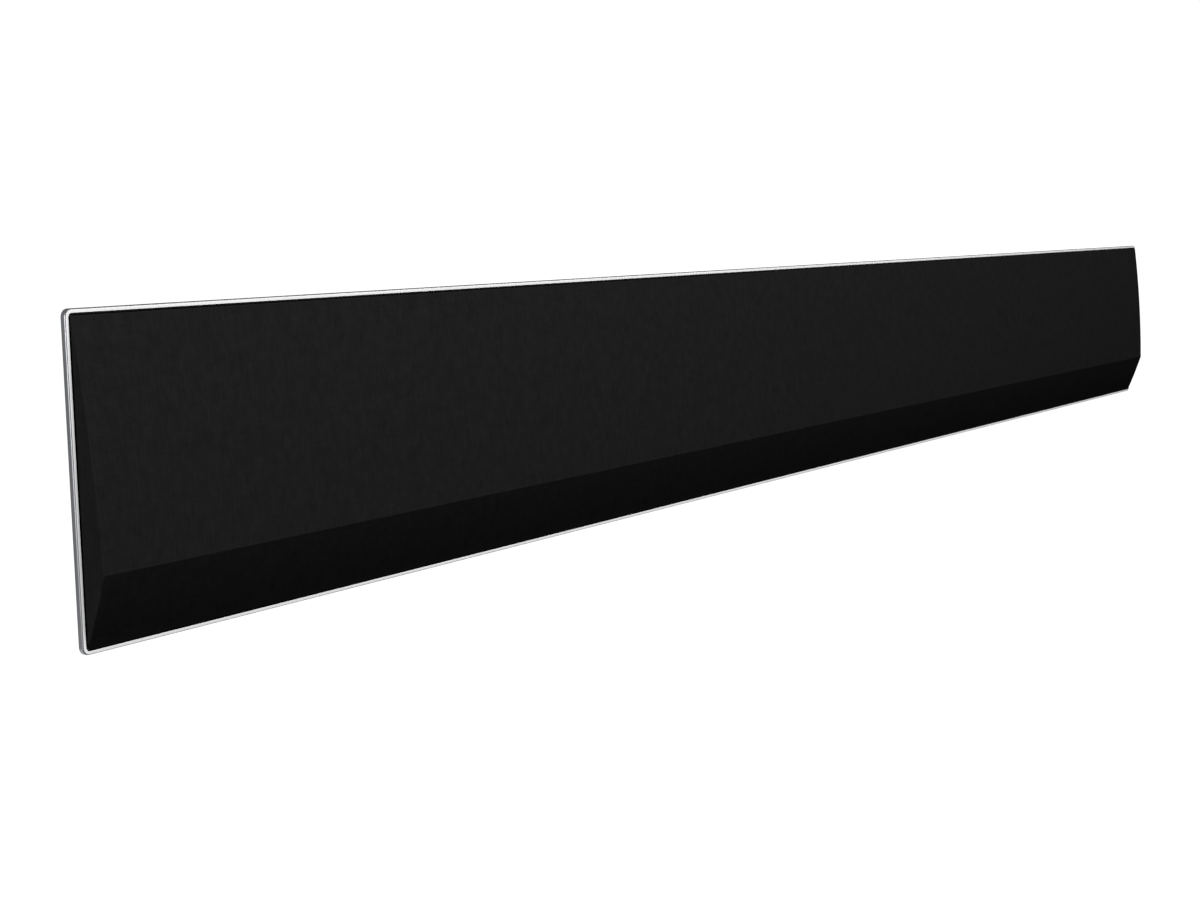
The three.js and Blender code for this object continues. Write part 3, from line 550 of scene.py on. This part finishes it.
def mouldedPlastic(name, colour, roughness, grainSize, grainDepth=0.05):
    # injection moulded plastic from a spark-eroded tool: an even grain, slightly cloudy in tone
    material, tree, surface = newMaterial(name, {"IOR": 1.53})
    place = addNode(tree, "ShaderNodeTexCoord")
    grain = addNode(tree, "ShaderNodeTexVoronoi", {"feature": "SMOOTH_F1"}, {"Scale": 1 / (grainSize * mm)}, {
        "Vector": place.outputs["Object"]})
    cloud = addNode(tree, "ShaderNodeTexNoise", {}, {"Scale": 22.0, "Detail": 3.0}, {
        "Vector": place.outputs["Object"]})
    base = linearColour(colour)
    light = tuple(min(1, c * 1.4) for c in base[:3]) + (1,)
    tint = addNode(tree, "ShaderNodeMix", {"data_type": "RGBA"}, {6: base, 7: light}, {
        0: cloud.outputs["Fac"]})
    rough = addNode(tree, "ShaderNodeMapRange", {}, {
        "From Max": 0.8, "To Min": roughness - 0.06, "To Max": roughness + 0.08,
    }, {"Value": grain.outputs["Distance"]})
    bump = addNode(tree, "ShaderNodeBump", {}, {"Strength": 0.35, "Distance": grainDepth * mm}, {
        "Height": grain.outputs["Distance"]})
    tree.links.new(tint.outputs[2], surface.inputs["Base Color"])
    tree.links.new(rough.outputs[0], surface.inputs["Roughness"])
    tree.links.new(bump.outputs[0], surface.inputs["Normal"])
    return material


def rolledMetal(name, colour, worn, roughness, lineSpacing, stretch):
    # bare or plated metal: fine upright lines from rolling or extrusion, and a patchy tone
    material, tree, surface = newMaterial(name, {"Metallic": 1.0})
    place = addNode(tree, "ShaderNodeTexCoord")
    across = 1 / (lineSpacing * mm)
    lines = addNode(tree, "ShaderNodeMapping", {}, {"Scale": (across, across, across / stretch)}, {
        "Vector": place.outputs["Object"]})
    streak = addNode(tree, "ShaderNodeTexNoise", {}, {"Scale": 1.0, "Detail": 3.0}, {
        "Vector": lines.outputs[0]})
    patch = addNode(tree, "ShaderNodeTexNoise", {}, {"Scale": 160.0, "Detail": 3.0, "Roughness": 0.65}, {
        "Vector": place.outputs["Object"]})
    tint = addNode(tree, "ShaderNodeMix", {"data_type": "RGBA"}, {
        6: linearColour(colour), 7: linearColour(worn)}, {0: patch.outputs["Fac"]})
    rough = addNode(tree, "ShaderNodeMapRange", {}, {
        "From Min": 0.3, "From Max": 0.7, "To Min": roughness - 0.08, "To Max": roughness + 0.1,
    }, {"Value": streak.outputs["Fac"]})
    bump = addNode(tree, "ShaderNodeBump", {}, {"Strength": 0.2, "Distance": 0.03 * mm}, {
        "Height": streak.outputs["Fac"]})
    tree.links.new(tint.outputs[2], surface.inputs["Base Color"])
    tree.links.new(rough.outputs[0], surface.inputs["Roughness"])
    tree.links.new(bump.outputs[0], surface.inputs["Normal"])
    return material


def printedBoard():
    # glass laminate under green solder resist: tracks 0.4 mm wide show lighter on a 2 mm raster,
    # and whatever stands proud of a board's face is black moulded or bare can
    material, tree, surface = newMaterial("solderResist", {"IOR": 1.5})
    place = addNode(tree, "ShaderNodeTexCoord")
    tracks = addNode(tree, "ShaderNodeTexBrick", {"offset": 0.37, "squash": 1.6, "squash_frequency": 3}, {
        "Scale": 260.0, "Mortar Size": 0.05, "Mortar Smooth": 0.2, "Brick Width": 1.1, "Row Height": 0.45,
        "Color1": linearColour("#12382a"), "Color2": linearColour("#164031"),
        "Mortar": linearColour("#3b7a55")})
    turn = addNode(tree, "ShaderNodeMapping", {}, {"Rotation": (math.pi / 2, 0, 0)}, {
        "Vector": place.outputs["Object"]})
    tree.links.new(turn.outputs[0], tracks.inputs["Vector"])
    split = addNode(tree, "ShaderNodeSeparateXYZ", links={0: place.outputs["Object"]})
    proud = addNode(tree, "ShaderNodeMapRange", {}, {
        "From Min": -11.45 * mm, "From Max": -11.35 * mm}, {"Value": split.outputs["Y"]})
    colour = addNode(tree, "ShaderNodeMix", {"data_type": "RGBA"}, {7: linearColour("#1b1c1e")}, {
        0: proud.outputs[0], 6: tracks.outputs["Color"]})
    bump = addNode(tree, "ShaderNodeBump", {}, {"Strength": 0.3, "Distance": 0.04 * mm}, {
        "Height": tracks.outputs["Fac"]})
    grime = addNode(tree, "ShaderNodeTexNoise", {}, {"Scale": 300.0, "Detail": 3.0}, {
        "Vector": place.outputs["Object"]})
    rough = addNode(tree, "ShaderNodeMapRange", {}, {"To Min": 0.25, "To Max": 0.5}, {
        "Value": grime.outputs["Fac"]})
    tree.links.new(colour.outputs[2], surface.inputs["Base Color"])
    tree.links.new(rough.outputs[0], surface.inputs["Roughness"])
    tree.links.new(bump.outputs[0], surface.inputs["Normal"])
    return material


def pressedPulp(name, dark, light, fibre, roughness):
    # paper pulp or doped silk, pressed to shape: short fibres cross in all directions
    material, tree, surface = newMaterial(name, {"Roughness": roughness, "Specular IOR Level": 0.3})
    place = addNode(tree, "ShaderNodeTexCoord")
    scale = 1 / (fibre * mm)
    first = addNode(tree, "ShaderNodeMapping", {}, {"Scale": (scale, scale, scale / 6)}, {
        "Vector": place.outputs["Object"]})
    second = addNode(tree, "ShaderNodeMapping", {}, {"Scale": (scale / 6, scale, scale)}, {
        "Vector": place.outputs["Object"]})
    upright = addNode(tree, "ShaderNodeTexNoise", {}, {"Scale": 1.0, "Detail": 3.0}, {
        "Vector": first.outputs[0]})
    level = addNode(tree, "ShaderNodeTexNoise", {}, {"Scale": 1.0, "Detail": 3.0}, {
        "Vector": second.outputs[0]})
    both = addNode(tree, "ShaderNodeMath", {"operation": "MAXIMUM"}, links={
        0: upright.outputs["Fac"], 1: level.outputs["Fac"]})
    tone = addNode(tree, "ShaderNodeMapRange", {}, {"From Min": 0.45, "From Max": 0.75}, {
        "Value": both.outputs[0]})
    colour = addNode(tree, "ShaderNodeMix", {"data_type": "RGBA"}, {
        6: linearColour(dark), 7: linearColour(light)}, {0: tone.outputs[0]})
    bump = addNode(tree, "ShaderNodeBump", {}, {"Strength": 0.4, "Distance": 0.06 * mm}, {
        "Height": both.outputs[0]})
    tree.links.new(colour.outputs[2], surface.inputs["Base Color"])
    tree.links.new(bump.outputs[0], surface.inputs["Normal"])
    return material


def milkyAcrylic():
    # cast acrylic with a diffusing filler: light spreads inside it, its faces are as moulded
    material, tree, surface = newMaterial("milkyAcrylic", {
        "IOR": 1.49, "Subsurface Weight": 0.5, "Subsurface Radius": (0.002, 0.002, 0.002)})
    place = addNode(tree, "ShaderNodeTexCoord")
    cloud = addNode(tree, "ShaderNodeTexNoise", {}, {"Scale": 120.0, "Detail": 3.0}, {
        "Vector": place.outputs["Object"]})
    colour = addNode(tree, "ShaderNodeMix", {"data_type": "RGBA"}, {
        6: linearColour("#dfe3e5"), 7: linearColour("#f0f2f2")}, {0: cloud.outputs["Fac"]})
    rough = addNode(tree, "ShaderNodeMapRange", {}, {"To Min": 0.3, "To Max": 0.5}, {
        "Value": cloud.outputs["Fac"]})
    tree.links.new(colour.outputs[2], surface.inputs["Base Color"])
    tree.links.new(rough.outputs[0], surface.inputs["Roughness"])
    return material


finishes = {
    # glass-filled ABS, unpainted, for the hidden frame and baffle; ABS with a 0.8 mm grain outside
    "black_plastic": mouldedPlastic("blackAbs", "#17171a", 0.5, 0.6),
    "housing_plastic": mouldedPlastic("texturedAbs", "#1f1f22", 0.6, 0.8, 0.1),
    "button_plastic": mouldedPlastic("satinAbs", "#26262a", 0.38, 0.4, 0.02),
    "surround_rubber": mouldedPlastic("butylRubber", "#141416", 0.55, 0.5, 0.02),
    "circuit_board": printedBoard(),
    "light_guide": milkyAcrylic(),
    "cone_paper": pressedPulp("pressedPulp", "#151517", "#2b2b2e", 0.3, 0.85),
    "dome_silk": pressedPulp("dopedSilk", "#222326", "#34353a", 0.25, 0.5),
    # black oxide or electrocoat over steel: dark, with a low metallic shine
    "black_steel": rolledMetal("blackOxideSteel", "#27272a", "#333337", 0.42, 0.4, 8),
    "socket_shell": rolledMetal("tinPlatedSteel", "#b3b4b6", "#c9cacb", 0.3, 0.3, 12),
    # zinc with a clear passivation: patches of a slightly warmer grey
    "plated_steel": rolledMetal("zincPlatedSteel", "#a7a9ac", "#bdbcb8", 0.36, 0.5, 6),
    "heat_sink": rolledMetal("extrudedAluminium", "#b4b6b9", "#c6c8ca", 0.38, 0.4, 30),
}


# housing, panel and plates keep the CAD shapes, with rounded edges

edgeRadii = {
    "rear_housing": 0.5, "terminal_panel": 0.3, "button_bezel": 0.35, "left_hang_plate": 0.3,
    "right_hang_plate": 0.3, "amplifier_heat_sink": 0.25,
}
for nodeName, radius in edgeRadii.items():
    refineNode(nodeName, finishes[slotOf[nodeName]], radius)
print("housing and plates ready")


# screws with a pan head and a cross recess

screw = {
    "head": 2.8, "crown": 0.45, "headDepth": 2.2, "recess": 1.1, "arm": 1.55, "armWidth": 0.36,
    "shank": 1.2, "thread": 0.28, "turns": 11,
}


def buildScrew(nodeName):
    # head: a crowned disc on a polar grid, sunk where the point lies in either arm of a cross
    low, high = boxInMm(nodeName)
    x, z = (low[0] + high[0]) / 2, (low[2] + high[2]) / 2
    head, under = screw["head"], high[1] - screw["headDepth"]
    radius = np.concatenate([np.linspace(0, 1.7, 15), np.linspace(1.9, head - 0.25, 5), [head]])
    angle = (np.arange(64) + 0.5) / 64 * 2 * math.pi
    u, v = radius[:, None] * np.cos(angle), radius[:, None] * np.sin(angle)
    narrow, far = np.minimum(abs(u), abs(v)), np.maximum(abs(u), abs(v))
    inArm = np.clip((screw["armWidth"] + 0.1 - narrow) / 0.15, 0, 1)
    inArm = inArm * np.clip((screw["arm"] - far) / 0.25, 0, 1)
    top = high[1] - screw["crown"] * (radius[:, None] / head) ** 3 - screw["recess"] * inArm
    # below the head: a threaded shank, its radius a triangle wave of the depth
    depth = np.linspace(0, 1, 40)
    wave = abs((depth * screw["turns"]) % 1 - 0.5) * 2
    taper = np.clip((1 - depth) * 8, 0.25, 1)
    shankRadius = (screw["shank"] + screw["thread"] * wave) * taper
    shankY = under + (low[1] - under) * depth
    below = np.concatenate([[[head, under + 0.3], [head - 0.3, under]],
                            np.stack([shankRadius, shankY], 1), [[0, low[1]]]])
    bu, bv = below[:, :1] * np.cos(angle), below[:, :1] * np.sin(angle)
    a, b = np.concatenate([u, bu]), np.concatenate([v, bv])
    y = np.concatenate([top, np.broadcast_to(below[:, 1:], bu.shape)])
    points = np.stack([x + a, y, z + b], -1) * mm
    return makePiece(nodeName + "Detail", points, gridFaces(*a.shape, closeColumns=True),
                     finishes["black_steel"], "black_steel", replaces=[nodeName], sharp=40)


for nodeName in [name for name in frame["nodes"] if name.startswith("rear_screw_")]:
    buildScrew(nodeName)
print("screws ready")


# push buttons: a dished cap with a raised mark, and a collar that keeps it in

button = {
    "capRadius": 1.2, "capInset": 0.9, "collarInset": 3.7, "collar": 1.0, "ease": 0.35, "dish": 0.25,
    "markWidth": 0.42, "markHeight": 0.16,
}


def buildButton(name, strokes):
    # rounded outlines stacked along X: collar, cap wall, eased edge and a dish that falls to the middle
    low, high = boxInMm(name + "_button")
    middle, half = (low + high) / 2, (high - low) / 2
    ease = np.linspace(0, math.pi / 2, 5)
    across = np.linspace(0, 1, 8)
    capInset, face, collar = button["capInset"], button["ease"], button["collar"]
    inset = np.concatenate([[button["collarInset"], 0, 0, capInset], capInset + face * (1 - np.cos(ease)),
                            capInset + face + (half[1] - capInset - face) * across[1:]])
    lift = np.concatenate([low[0] + np.array([0, 0, collar, collar]), high[0] - face + face * np.sin(ease),
                           high[0] - button["dish"] * (1 - (1 - across[1:]) ** 2)])
    a, b = insetOutline(half[1], half[2], button["capRadius"], inset)
    x = np.broadcast_to(lift[:, None], a.shape)
    points = np.stack([x, middle[1] + a, middle[2] + b], -1) * mm
    body = name + "_button"
    makePiece(name + "Cap", points, gridFaces(*a.shape, closeColumns=True), finishes["button_plastic"],
              "button_plastic", body=body, replaces=[body], sharp=40)
    base = high[0] - button["dish"] - 0.02
    surfaces = [raisedLine(np.array(stroke, float), middle, base) for stroke in strokes]
    makePiece(name + "Mark", *joinSurfaces(surfaces), paleMark, "button_plastic", body=body, sharp=60)


def raisedLine(path, middle, base):
    # a low half-round ridge carried along a path of (y, z) points, closing to nothing at both ends
    ahead = np.gradient(path, axis=0)
    ahead /= np.linalg.norm(ahead, axis=1, keepdims=True)
    side = np.stack([-ahead[:, 1], ahead[:, 0]], 1)
    a = np.linspace(0, math.pi, 6)
    size = np.ones(len(path))
    size[[0, -1]] = 0
    across = np.concatenate([np.cos(a), [-1, 1]]) * button["markWidth"] / 2
    up = np.concatenate([np.sin(a) * button["markHeight"], [-0.15, -0.15]])
    flat = path[:, None] + side[:, None] * across[None, :, None] * size[:, None, None]
    x = base + up[None] * size[:, None]
    points = np.stack([x, middle[1] + flat[..., 0], middle[2] + flat[..., 1]], -1) * mm
    return points, gridFaces(len(path), len(a) + 2, closeColumns=True)


def arcPath(radius, start, end, steps=20):
    # part of a circle round the middle of the cap, angles in degrees
    a = np.radians(np.linspace(start, end, steps))
    return np.stack([radius * np.cos(a), radius * np.sin(a)], 1)


def barPath(y1, z1, y2, z2):
    # a straight stroke, with points near its ends where the ridge tapers
    t = np.array([0, 0.04, 0.35, 0.65, 0.96, 1])[:, None]
    return np.array([[y1, z1]]) * (1 - t) + np.array([[y2, z2]]) * t


paleMark = mouldedPlastic("paleInk", "#a8aaac", 0.5, 0.3, 0.01)  # tampon-printed raised mark
marks = {
    "power": [arcPath(1.3, 120, 420), barPath(0, 0.3, 0, 1.8)],
    "source": [barPath(-1.3, -1.3, -1.3, 1.3), barPath(-0.6, 0, 1.4, 0), barPath(0.7, 0.7, 1.45, 0),
               barPath(0.7, -0.7, 1.45, 0)],
    "volume_down": [barPath(-1.4, 0, 1.4, 0)],
    "volume_up": [barPath(-1.4, 0, 1.4, 0), barPath(0, -1.4, 0, 1.4)],
    "pairing": [arcPath(0.55, 0, 360), arcPath(1.4, -60, 60), arcPath(1.4, 120, 240)],
}
for name, strokes in marks.items():
    buildButton(name, strokes)
print("buttons ready")


# sockets: shells drawn round their mouths, with tongues, pins and contacts inside

sockets = {
    # mouth half sizes and corner radius in mm, waist or taper of the outline, and what stands inside
    "power_inlet": {"mouth": (7.8, 3.4), "corner": 3.2, "outer": 2.2, "waist": 0.16, "depth": 18,
                    "pins": 4.4},
    "av_input_socket": {"mouth": (7.0, 2.4), "corner": 0.9, "outer": 1.0, "taper": 0.16, "depth": 11,
                        "tongue": (5.5, 0.7, 6.0), "contacts": (9, 1.0)},
    "av_return_socket": {"mouth": (7.0, 2.4), "corner": 0.9, "outer": 1.0, "taper": 0.16, "depth": 11,
                         "tongue": (5.5, 0.7, 6.0), "contacts": (9, 1.0)},
    "optical_socket": {"mouth": (3.4, 2.7), "corner": 0.5, "outer": 0.8, "depth": 0.5},
    "data_socket": {"mouth": (6.4, 2.7), "corner": 0.4, "outer": 0.6, "depth": 13,
                    "tongue": (5.3, 0.9, 8.0), "contacts": (4, 2.4)},
    "network_socket": {"mouth": (6.0, 3.4), "corner": 0.4, "outer": 0.6, "depth": 15,
                       "tongue": (4.5, 0.45, 9.0), "contacts": (8, 1.05)},
}


def socketOutline(halfWidth, halfDepth, corner, inset, facts):
    # a rounded rectangle, narrower towards the front by the taper or pinched in the middle by the waist
    a, b = insetOutline(halfWidth, halfDepth, corner, inset)
    a = a * (1 - facts.get("taper", 0) * np.clip(0.5 - b / (2 * halfDepth), 0, 1) ** 2)
    return a, b * (1 - facts.get("waist", 0) * np.exp(-(a / 2.4) ** 2))


def buildSocket(nodeName, facts):
    # outer wall, rolled rim, inner wall and floor, stacked along Z from the closed end to the floor
    low, high = boxInMm(nodeName)
    middle, half = (low + high) / 2, (high - low) / 2
    mouthX, mouthY = facts["mouth"]
    plain = {} if facts.get("waist") else facts
    lip = 0.12
    outerA, outerB = socketOutline(half[0], half[1], facts["outer"], [half[1], 0, 0, lip], plain)
    innerA, innerB = socketOutline(mouthX, mouthY, facts["corner"], [0, lip, lip, mouthY], facts)
    top, mouth = high[2], low[2]
    floor = mouth + facts["depth"]
    z = np.array([top, top, mouth + lip, mouth, mouth, mouth + lip, floor, floor])
    a, b = np.concatenate([outerA, innerA]), np.concatenate([outerB, innerB])
    points = np.stack([middle[0] + a, middle[1] + b, np.broadcast_to(z[:, None], a.shape)], -1) * mm
    slotName = slotOf[nodeName]
    makePiece(nodeName + "Shell", points, gridFaces(*a.shape, closeColumns=True), finishes[slotName],
              slotName, replaces=[nodeName], sharp=40)
    if "pins" in facts:
        pin = easeCorners(np.array([[0, floor], [1.2, floor], [1.2, mouth + 2.5], [0, mouth + 2.5]]), 0.7)
        surfaces = [turnedSurface(pin, (middle[0] + side, middle[1], 0), "Z", steps=24)
                    for side in (-facts["pins"], facts["pins"])]
        makePiece(nodeName + "Pins", *joinSurfaces(surfaces), finishes["socket_shell"], slotName)
    if "tongue" in facts:
        halfWidth, halfThick, length = facts["tongue"]
        a, b = insetOutline(halfWidth, halfThick, 0.2, [halfThick, 0, 0, 0.15, halfThick])
        offset = mouthY - halfThick - 0.4 if nodeName == "network_socket" else 0
        z = np.array([floor, floor, floor - length + 0.15, floor - length, floor - length])
        z = np.broadcast_to(z[:, None], a.shape)
        points = np.stack([middle[0] + a, middle[1] - offset + b, z], -1) * mm
        makePiece(nodeName + "Tongue", points, gridFaces(*a.shape, closeColumns=True),
                  finishes["black_plastic"], slotName, sharp=40)
        count, pitch = facts["contacts"]
        surfaces = [contactStrip(middle[0] + pitch * (i - (count - 1) / 2), middle[1] - offset + halfThick,
                                 floor - length, length, pitch * 0.45) for i in range(count)]
        makePiece(nodeName + "Contacts", *joinSurfaces(surfaces), finishes["socket_shell"], slotName)


def contactStrip(x, y, z, length, width):
    # a flat spring strip along Z, bowed away from the tongue: height is a half sine of the length
    t = np.linspace(0, 1, 9)
    bow = 0.05 + 0.25 * np.sin(math.pi * t)
    corners = [(-width / 2, -0.05), (width / 2, -0.05), (width / 2, 0.1), (-width / 2, 0.1)]
    along = z + 0.2 + (length - 0.4) * t
    rows = [np.stack([np.full(len(t), x + dx), y + bow + dy, along], -1) for dx, dy in corners]
    points = np.stack(rows, 1) * mm
    faces = gridFaces(len(t), 4, closeColumns=True)
    ends = np.arange(4) + np.array([[0], [4 * (len(t) - 1)]])
    return points, np.concatenate([faces, ends])


for nodeName, facts in sockets.items():
    buildSocket(nodeName, facts)
print("sockets ready")


# drivers: sections turned about Y, the woofers' pulled apart into racetracks

woofer = {
    "stretch": 30,
    "chassis": [[0, -3.2], [12.4, -3.2], [12.4, -7], [18.4, -7.6], [20, -19.6], [25.6, -19.6], [25.6, -20.7],
                [19.4, -20.7], [17.4, -9], [11.4, -8.6], [11.4, -4.6], [9.2, -4.6], [9.2, -8.6], [0, -8.6]],
    "cone": [[0, -14.2], [5, -13.8], [10, -12.4], [10, -7.2], [10.6, -7.2], [10.6, -12.2], [15.6, -21.3],
             [17.4, -21.3], [17.4, -21.9], [15, -21.9], [10, -13.1], [5, -14.5], [0, -14.9]],
    "surround": [[24.6, -21], [24.6, -21.5], [21.6, -21.5], [21.0, -22.5], [20.2, -23.2], [19.2, -23.3],
                 [18.4, -23.1], [17.6, -22.7], [15.4, -22.7], [15.4, -22.2], [18.0, -22.2], [18.8, -22.7],
                 [19.6, -22.7], [20.4, -22.1], [20.9, -21]],
    "softStart": -21.4, "softEnd": -22.4,
}
tweeter = {
    "body": [[0, -8], [12, -8], [12, -19.6], [17, -19.6], [17, -20.8], [13.4, -20.8], [11, -19.8],
             [10.6, -15.5], [8.8, -15.5], [8.8, -18.2], [0, -18.2]],
    "dome": [[0, -22.4], [3.2, -22.2], [6, -21.5], [8.2, -20.6], [9.4, -20], [9.4, -16.6], [9.9, -16.6],
             [9.9, -19.9], [10.6, -20.1], [10.6, -20.6], [9.6, -20.6], [8.4, -21.2], [6.2, -22], [3.2, -22.7],
             [0, -22.9]],
}


def buildDriverPart(nodeName, section, stretch, ease, body):
    low, high = boxInMm(nodeName)
    place = ((low[0] + high[0]) / 2, 0, 0)
    points, faces = turnedSurface(easeCorners(np.array(section, float), ease), place, stretch=stretch)
    return makePiece(nodeName + "Detail", points, faces, finishes[slotOf[nodeName]], slotOf[nodeName],
                     body=body, replaces=[nodeName], sharp=40)


for number in range(1, 7):
    node = f"woofer_{number}_"
    buildDriverPart(node + "chassis", woofer["chassis"], woofer["stretch"], 0.6, "body")
    buildDriverPart(node + "cone", woofer["cone"], woofer["stretch"], 0.4, node + "cone")
    surround = buildDriverPart(node + "surround", woofer["surround"], woofer["stretch"], 0.3, None)
    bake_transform(surround)
for number in range(1, 4):
    node = f"tweeter_{number}_"
    buildDriverPart(node + "body", tweeter["body"], 0, 0.5, "body")
    buildDriverPart(node + "dome", tweeter["dome"], 0, 0.3, node + "dome")
print("drivers ready")


# every other CAD node keeps its shape and takes its slot's finish

for nodeName, node in frame["nodes"].items():
    if not node.hide_render:
        node.data.materials.clear()
        node.data.materials.append(finishes[slotOf[nodeName]])
print("carried nodes finished")
